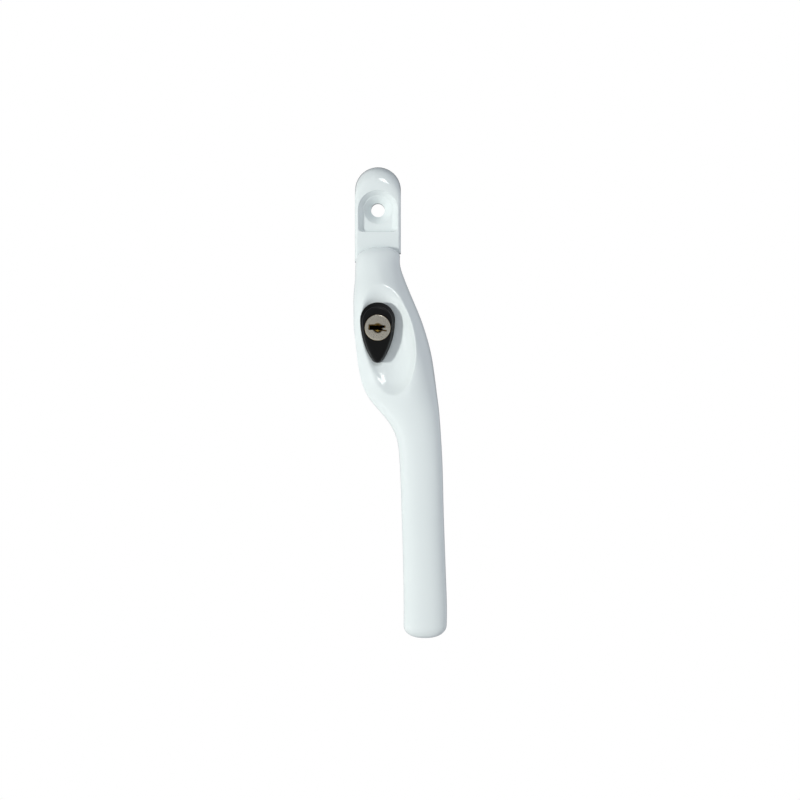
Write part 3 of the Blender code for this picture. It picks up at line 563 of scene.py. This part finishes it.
# %% [markdown]
# ## The key plug
# The plug is turned brass with a nickel face. Its rim is rounded by the polishing wheel, which
# gives the bright edge. A round countersink leads the key in, and the keyway is a zigzag slot,
# with a step in it that only the right key passes. Narrow slots across the body hold the wafers.

# %% Turn and broach the plug
PLUG_R, BARREL_REAR, TAIL_END = 3.8, span("lock_barrel")[1][1], plug_high[1]
RIM_R, CROWN = 0.25, 0.1                # rounding of the rim, and how proud the middle is
WAFERS, WAFER_THICK = 4, 0.6

profile = [(r, PLUG_FRONT + CROWN * (r / PLUG_FACE_R) ** 2) for r in (0, 1, 2, 2.6, 3.2, 3.7)]
for k in range(7):
    turn = math.pi / 2 * k / 6
    reach = PLUG_FACE_R - RIM_R * (1 - math.sin(turn))
    profile.append((reach, PLUG_FRONT + CROWN + RIM_R * (1 - math.cos(turn))))
profile += [(PLUG_FACE_R, BARREL_FRONT - 0.2), (PLUG_R, BARREL_FRONT - 0.2), (PLUG_R, BARREL_REAR + 0.2)]
profile += [(1.0, BARREL_REAR + 0.2), (1.0, TAIL_END - 0.2), (0.8, TAIL_END), (0, TAIL_END)]
plug = piece("key_plug_turned", turned(profile, (0, KEY_Z), 160), smooth=30)

KEYWAY = (
    (-3.35, -0.85), (-3.3, 1.2), (-1.2, 1.25), (0.9, 1.1), (3.0, 0.75), (2.85, -0.12), (1.45, -0.05),
    (1.2, -0.5), (3.35, -0.9), (3.3, -1.42), (0.9, -1.1), (0.45, -0.85),
)
keyway = [(x, KEY_Z + z) for x, z in KEYWAY]
lead_in = [(0, PLUG_FRONT - 1), (2.0, PLUG_FRONT - 1), (1.9, PLUG_FRONT), (1.55, PLUG_FRONT + 0.5)]
lead_in += [(1.2, PLUG_FRONT + 0.9), (0.6, PLUG_FRONT + 1.05), (0, PLUG_FRONT + 1.1)]
cutters = [stacked([(PLUG_FRONT - 1, keyway), (-17.0, keyway)]), turned(lead_in, (0.05, KEY_Z - 0.15), 96)]
for number in range(1, WAFERS + 1):
    front = span(f"wafer_{number}")[0][1]
    slit = box_outline(-5, 5, KEY_Z - 1.45, KEY_Z + 1.45)
    cutters.append(stacked([(front - 0.12, slit), (front + WAFER_THICK + 0.12, slit)]))
carve(plug, cutters, smooth=30)
report(plug)

# %% [markdown]
# ## Finishes
# Every finish below is a small node tree. One function turns a hex colour, as a paint chart
# gives it, into the linear numbers that the shader adds up. One more adds a node. Patterns read
# Object coordinates, which are metres here, so a pattern's scale is one over its real spacing.

# %% Node helpers
def linear(hex_colour):
    """A colour such as E6ECEE as linear red, green, blue and alpha."""
    channels = [int(hex_colour[k:k + 2], 16) / 255 for k in (0, 2, 4)]
    return tuple(c / 12.92 if c <= 0.04045 else ((c + 0.055) / 1.055) ** 2.4 for c in channels) + (1.0,)


def material(name, **sockets):
    """A new material whose shader has these constants; spaces in socket names are underscores."""
    fresh = bpy.data.materials.new(name)
    fresh.use_nodes = True
    for socket, value in sockets.items():
        fresh.node_tree.nodes["Principled BSDF"].inputs[socket.replace("_", " ")].default_value = value
    return fresh


def add(tree, kind, values=None, links=None, **settings):
    """Add a node: settings are its own options, values fill its sockets, links feed them."""
    fresh = tree.nodes.new(kind)
    for name, value in settings.items():
        setattr(fresh, name, value)
    for socket, value in (values or {}).items():
        fresh.inputs[socket].default_value = value
    for socket, source in (links or {}).items():
        tree.links.new(source, fresh.inputs[socket])
    return fresh


def per_metre(millimetres):
    return 1 / (millimetres * MM)


print("one millimetre is a scale of", per_metre(1.0))

# %% [markdown]
# Powder coat is plastic dust melted on the casting. It is glossy but never quite flat: as it
# flows it leaves the soft dimples that painters call orange peel, a millimetre or so across.
# Broad, faint changes of tone come from its uneven thickness. The resin has the gloss of most
# plastics, so its IOR is 1.5.

# %% White powder coat
POWDER_WHITE, POWDER_THIN = linear("E1EAEB"), linear("DDE6E8")
PEEL_SIZE, PEEL_DEPTH = 1.4, 0.004     # mm
coat = material("white_powder_coat", IOR=1.5)
tree, shader = coat.node_tree, coat.node_tree.nodes["Principled BSDF"]
place = add(tree, "ShaderNodeTexCoord")
cloud = add(tree, "ShaderNodeTexNoise", {"Scale": per_metre(22.0), "Detail": 2.0}, {"Vector": place.outputs["Object"]})
tone = add(tree, "ShaderNodeMix", {6: POWDER_WHITE, 7: POWDER_THIN}, {0: cloud.outputs["Fac"]}, data_type="RGBA")
tree.links.new(tone.outputs[2], shader.inputs["Base Color"])
peel = add(tree, "ShaderNodeTexNoise", {"Scale": per_metre(PEEL_SIZE), "Detail": 1.5, "Roughness": 0.4}, {"Vector": place.outputs["Object"]})
dimples = add(tree, "ShaderNodeBump", {"Strength": 0.35, "Distance": PEEL_DEPTH * MM}, {"Height": peel.outputs["Fac"]})
tree.links.new(dimples.outputs["Normal"], shader.inputs["Normal"])
gloss = add(tree, "ShaderNodeMapRange", {"To Min": 0.1, "To Max": 0.16}, {"Value": cloud.outputs["Fac"]})
tree.links.new(gloss.outputs["Result"], shader.inputs["Roughness"])
print(coat.name, "dimples every", PEEL_SIZE, "mm")

# %% [markdown]
# Acetal is a slippery engineering plastic. Moulded in black against spark-eroded steel it comes
# out with a fine even grain of about a tenth of a millimetre, drawn here at a quarter so that it
# shows, and a satin gloss.

# %% Black acetal
GRAIN = 0.25                           # mm
acetal = material("black_moulded_acetal", IOR=1.48, Specular_IOR_Level=0.3)
tree, shader = acetal.node_tree, acetal.node_tree.nodes["Principled BSDF"]
place = add(tree, "ShaderNodeTexCoord")
grain = add(tree, "ShaderNodeTexNoise", {"Scale": per_metre(GRAIN), "Detail": 2.0}, {"Vector": place.outputs["Object"]})
tone = add(tree, "ShaderNodeMix", {6: linear("050505"), 7: linear("0A0B0B")}, {0: grain.outputs["Fac"]}, data_type="RGBA")
tree.links.new(tone.outputs[2], shader.inputs["Base Color"])
bumps = add(tree, "ShaderNodeBump", {"Strength": 0.3, "Distance": 0.006 * MM}, {"Height": grain.outputs["Fac"]})
tree.links.new(bumps.outputs["Normal"], shader.inputs["Normal"])
gloss = add(tree, "ShaderNodeMapRange", {"To Min": 0.3, "To Max": 0.42}, {"Value": grain.outputs["Fac"]})
tree.links.new(gloss.outputs["Result"], shader.inputs["Roughness"])
print(acetal.name)

# %% [markdown]
# The plug is brass with a thin nickel plate. The plate reaches only the outside, so the colour
# changes a little way behind the face: inside the keyway the brass shows yellow. Deeper in, the
# colour is painted darker and darker, to nearly black three millimetres behind the face: that is
# painted shade inside the keyway and the wafer slits. The face was turned on a lathe and tumbled,
# which leaves a fine random grain.

# %% Nickel over brass, and painted shade in the keyway
# Painted shade: this far behind the face the brass colour is painted nearly black.
KEYWAY_SHADE_DEPTH = 3.0                          # mm behind the face, where the brass is quite dark
nickel = material("satin_nickel_on_brass", Metallic=1.0)
tree, shader = nickel.node_tree, nickel.node_tree.nodes["Principled BSDF"]
place = add(tree, "ShaderNodeTexCoord")
apart = add(tree, "ShaderNodeSeparateXYZ", links={"Vector": place.outputs["Object"]})
start, stop = PLUG_FRONT * MM, (PLUG_FRONT + KEYWAY_SHADE_DEPTH) * MM
depth = add(tree, "ShaderNodeMapRange", {"From Min": start, "From Max": stop}, {"Value": apart.outputs["Y"]})
tone = add(tree, "ShaderNodeValToRGB", links={"Fac": depth.outputs["Result"]})
# Nickel at the face, bare brass just behind it, then painted shade that darkens it to nearly black deeper in.
for place_along, colour_name in ((0.0, "EFE9D6"), (0.12, "EFE9D6"), (0.2, "A88B4A"), (0.5, "6A5220"), (0.999, "120D06")):
    stop = tone.color_ramp.elements.new(place_along) if place_along else tone.color_ramp.elements[0]
    stop.color = linear(colour_name)
tone.color_ramp.elements[-1].color = linear("120D06")
tree.links.new(tone.outputs["Color"], shader.inputs["Base Color"])
tumbled = add(tree, "ShaderNodeTexNoise", {"Scale": per_metre(0.3), "Detail": 4.0}, {"Vector": place.outputs["Object"]})
scuffs = add(tree, "ShaderNodeBump", {"Strength": 0.4, "Distance": 0.01 * MM}, {"Height": tumbled.outputs["Fac"]})
tree.links.new(scuffs.outputs["Normal"], shader.inputs["Normal"])
gloss = add(tree, "ShaderNodeMapRange", {"To Min": 0.22, "To Max": 0.36}, {"Value": tumbled.outputs["Fac"]})
tree.links.new(gloss.outputs["Result"], shader.inputs["Roughness"])
print(nickel.name)

# %% [markdown]
# The working pieces behind the lever have plain trade finishes, which differ in colour, in gloss
# and in the size of their grain. Bright zinc plate has a bluish tint and the fine lines of drawn
# bar. Spring wire is dark and smooth. Nylon is milky, die-cast zinc is dull and blotchy, and cut
# brass is warm. One loop makes them all from a row of facts each.

# %% Trade finishes
# slot: name, two colours, metallic, roughness low and high, grain in mm, stretch along the bar
TRADE = {
    "brass": ("machined_brass", "B8975A", "A4834A", 1.0, 0.26, 0.4, 0.25, 1.0),
    "zinc_plated": ("bright_zinc_plate", "C9CED2", "B3BAC2", 1.0, 0.22, 0.38, 0.3, 0.06),
    "spring_steel": ("spring_steel_wire", "8A8C90", "74767A", 1.0, 0.24, 0.36, 0.2, 1.0),
    "nylon": ("natural_nylon", "E2DFD2", "D8D4C4", 0.0, 0.42, 0.55, 0.8, 1.0),
    "die_cast": ("die_cast_zinc", "A2A6AA", "8B9095", 1.0, 0.4, 0.58, 0.9, 1.0),
}
finishes = {"white_coat": coat, "black_button": acetal, "nickel": nickel}
for slot, (name, light, dark, metallic, smooth_low, smooth_high, grain_mm, stretch) in TRADE.items():
    finish = material(name, Metallic=metallic)
    tree, shader = finish.node_tree, finish.node_tree.nodes["Principled BSDF"]
    place = add(tree, "ShaderNodeTexCoord")
    drawn = add(tree, "ShaderNodeMapping", {"Scale": (1.0, stretch, 1.0)}, {"Vector": place.outputs["Object"]})
    grain = add(tree, "ShaderNodeTexNoise", {"Scale": per_metre(grain_mm), "Detail": 3.0}, {"Vector": drawn.outputs["Vector"]})
    tone = add(tree, "ShaderNodeMix", {6: linear(light), 7: linear(dark)}, {0: grain.outputs["Fac"]}, data_type="RGBA")
    tree.links.new(tone.outputs[2], shader.inputs["Base Color"])
    gloss = add(tree, "ShaderNodeMapRange", {"To Min": smooth_low, "To Max": smooth_high}, {"Value": grain.outputs["Fac"]})
    tree.links.new(gloss.outputs["Result"], shader.inputs["Roughness"])
    bumps = add(tree, "ShaderNodeBump", {"Strength": 0.3, "Distance": 0.01 * MM}, {"Height": grain.outputs["Fac"]})
    tree.links.new(bumps.outputs["Normal"], shader.inputs["Normal"])
    finishes[slot] = finish
print("finishes:", ", ".join(finish.name for finish in finishes.values()))

# %% [markdown]
# ## Put it together
# A new piece says which body it rides on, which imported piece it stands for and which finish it
# has. The pieces that stay from the frame only get their finish.

# %% Bodies, replaced pieces and finishes
NEW = (
    (plate, "base", "base_plate", "white_coat"),
    (lever, "handle", "lever", "white_coat"),
    (button, "button", "lock_button", "black_button"),
    (plug, "plug", "key_plug", "nickel"),
)
for obj, body, node, slot in NEW:
    obj.data.materials.clear()
    obj.data.materials.append(finishes[slot])
    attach(obj, body)
    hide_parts(node)

replaced = {node for _, _, node, _ in NEW}
for name, obj in nodes.items():
    if name not in replaced:
        slot = obj.material_slots[0].material.name.split(".")[0]
        obj.material_slots[0].material = finishes[slot]
        print(name, "keeps its shape, in", finishes[slot].name)

# %% [markdown]
# ## Floor, lights and camera
# The lock stands in a bright studio. The sky is a soft fill of light and dark cards round the lock:
# bright at the right and behind on the left, dimmer in front and at the left, and dark straight
# behind, so the far edges of the coat turn darker. The camera itself sees the sky as plain white.
# The small key lamp from the left gives the crisp shadow beside the button, front_fill lifts the
# front, and side_glow and top_glow give only the small highlights.

# %% The studio
FLOOR_Z, FLOOR_R = -0.35, 1.15         # m
bm = bmesh.new()
bmesh.ops.create_circle(bm, cap_ends=True, segments=96, radius=FLOOR_R)
bmesh.ops.translate(bm, vec=(0, 0, FLOOR_Z), verts=bm.verts)
mesh = bpy.data.meshes.new("studio_floor")
bm.to_mesh(mesh)
bm.free()
floor = bpy.data.objects.new("studio_floor", mesh)
bpy.context.scene.collection.objects.link(floor)
mesh.materials.append(material("pale_floor", Base_Color=linear("F2F2F2"), Roughness=0.8))

world = bpy.data.worlds.new("studio")
world.use_nodes = True
bpy.context.scene.world = world
tree = world.node_tree
sky = tree.nodes["Background"]
view = add(tree, "ShaderNodeTexCoord")
apart = add(tree, "ShaderNodeSeparateXYZ", links={"Vector": view.outputs["Generated"]})
ahead = add(tree, "ShaderNodeMath", {1: -1.0}, {0: apart.outputs["Y"]}, operation="MULTIPLY")
turn = add(tree, "ShaderNodeMath", links={0: apart.outputs["X"], 1: ahead.outputs["Value"]}, operation="ARCTAN2")
round_about = add(tree, "ShaderNodeMapRange", {"From Min": -math.pi, "From Max": math.pi}, {"Value": turn.outputs["Value"]})
cards = add(tree, "ShaderNodeValToRGB", links={"Fac": round_about.outputs["Result"]})
CARDS = (
    (0.0, 0.05), (0.05, 0.05), (0.09, 0.8), (0.15, 0.5), (0.25, 0.18), (0.36, 0.2), (0.43, 0.46), (0.5, 0.26),
    (0.62, 0.24), (0.72, 0.76), (0.83, 0.7), (0.91, 0.05),
)
for place, level in CARDS:
    stop = cards.color_ramp.elements.new(place) if place else cards.color_ramp.elements[0]
    stop.color = (level * 0.985, level, level * 1.065, 1.0)
cards.color_ramp.elements[-1].color = (0.05, 0.05, 0.053, 1.0)
seen = add(tree, "ShaderNodeLightPath")
colour = add(tree, "ShaderNodeMix", {7: (1.0, 1.0, 1.0, 1.0)}, {0: seen.outputs["Is Camera Ray"], 6: cards.outputs["Color"]}, data_type="RGBA")
tree.links.new(colour.outputs[2], sky.inputs["Color"])


def lamp(name, direction, distance, size, power, colour=(1.0, 1.0, 1.0)):
    """A soft lamp, aimed at the lock from a direction of (turn, height) in degrees."""
    turn, height = (math.radians(v) for v in direction)
    data = bpy.data.lights.new(name, "AREA")
    data.shape = "RECTANGLE"
    data.size, data.size_y = size
    data.energy, data.color = power, colour
    obj = bpy.data.objects.new(name, data)
    aim = np.array([math.sin(turn) * math.cos(height), -math.cos(turn) * math.cos(height), math.sin(height)])
    obj.location = np.array([0.008, -0.02, -0.045]) + aim * distance
    obj.rotation_euler = (math.pi / 2 - height, 0, turn)
    bpy.context.scene.collection.objects.link(obj)
    return obj


key = lamp("key_lamp", (-52, 0), 1.5, (0.15, 0.15), 14.7, (1.0, 0.985, 0.93))
key.visible_glossy = False
lamp("side_glow", (-52, 4), 1.5, (0.3, 0.3), 0.3).visible_diffuse = False
lamp("front_fill", (8, 26), 1.3, (0.4, 0.3), 3.2).visible_glossy = False
lamp("top_glow", (11, 42), 1.3, (0.22, 0.32), 2.4).visible_diffuse = False
print("fill from the sky, and four lamps")

# %% The camera
CAMERA_BACK, LENS = 1.208, 145.8       # m, mm
camera = bpy.data.cameras.new("camera")
camera.lens, camera.sensor_width = LENS, 36.0
camera.clip_start, camera.clip_end = 0.05, 20.0
viewpoint = bpy.data.objects.new("camera", camera)
viewpoint.location = (0.0082, -CAMERA_BACK, -0.049)
viewpoint.rotation_euler = (math.pi / 2, 0, 0)
bpy.context.scene.collection.objects.link(viewpoint)
bpy.context.scene.camera = viewpoint
bpy.context.scene.view_settings.view_transform = "Standard"
print("camera", CAMERA_BACK, "m in front")
